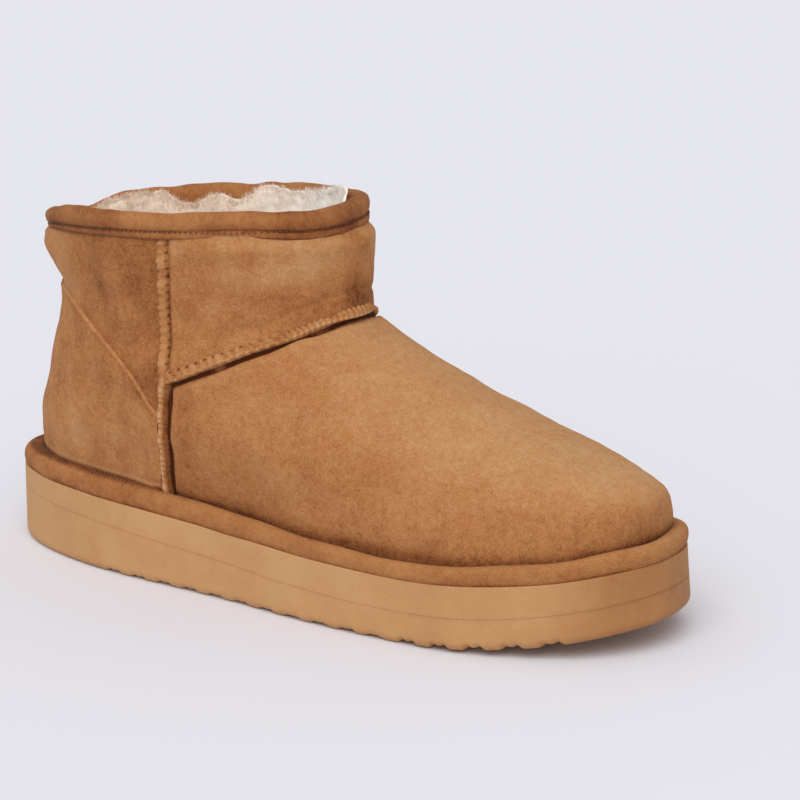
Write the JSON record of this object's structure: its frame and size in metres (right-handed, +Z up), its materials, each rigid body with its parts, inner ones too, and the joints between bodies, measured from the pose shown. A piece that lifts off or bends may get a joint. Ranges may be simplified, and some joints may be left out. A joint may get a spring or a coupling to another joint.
{
  "type": "ankle-high sheepskin slipper",
  "caption": "Ankle-high platform slipper boot with a hollow suede sheepskin upper, a taped collar, a heel counter, a taped welt and a two-layer foam sole with a grooved tread.",
  "frame": {"origin": "on the floor, under the middle of the shoe's length and width", "axes": "+X towards the toe, +Y towards the inner (medial) side, +Z up"},
  "size_m": [0.2724, 0.1004, 0.1362],
  "materials": {
    "suede": "napped chestnut suede",
    "counter_suede": "napped chestnut suede",
    "tape": "diagonally woven matte tape",
    "foam": "matte moulded foam",
    "fleece": "cream curly fleece"
  },
  "bodies": {
    "root": {"outsole": "foam", "midsole": "foam", "welt": "tape", "upper": "suede", "heel_counter": "counter_suede", "collar_binding": "tape", "insole": "fleece"}
  },
  "joints": []
}
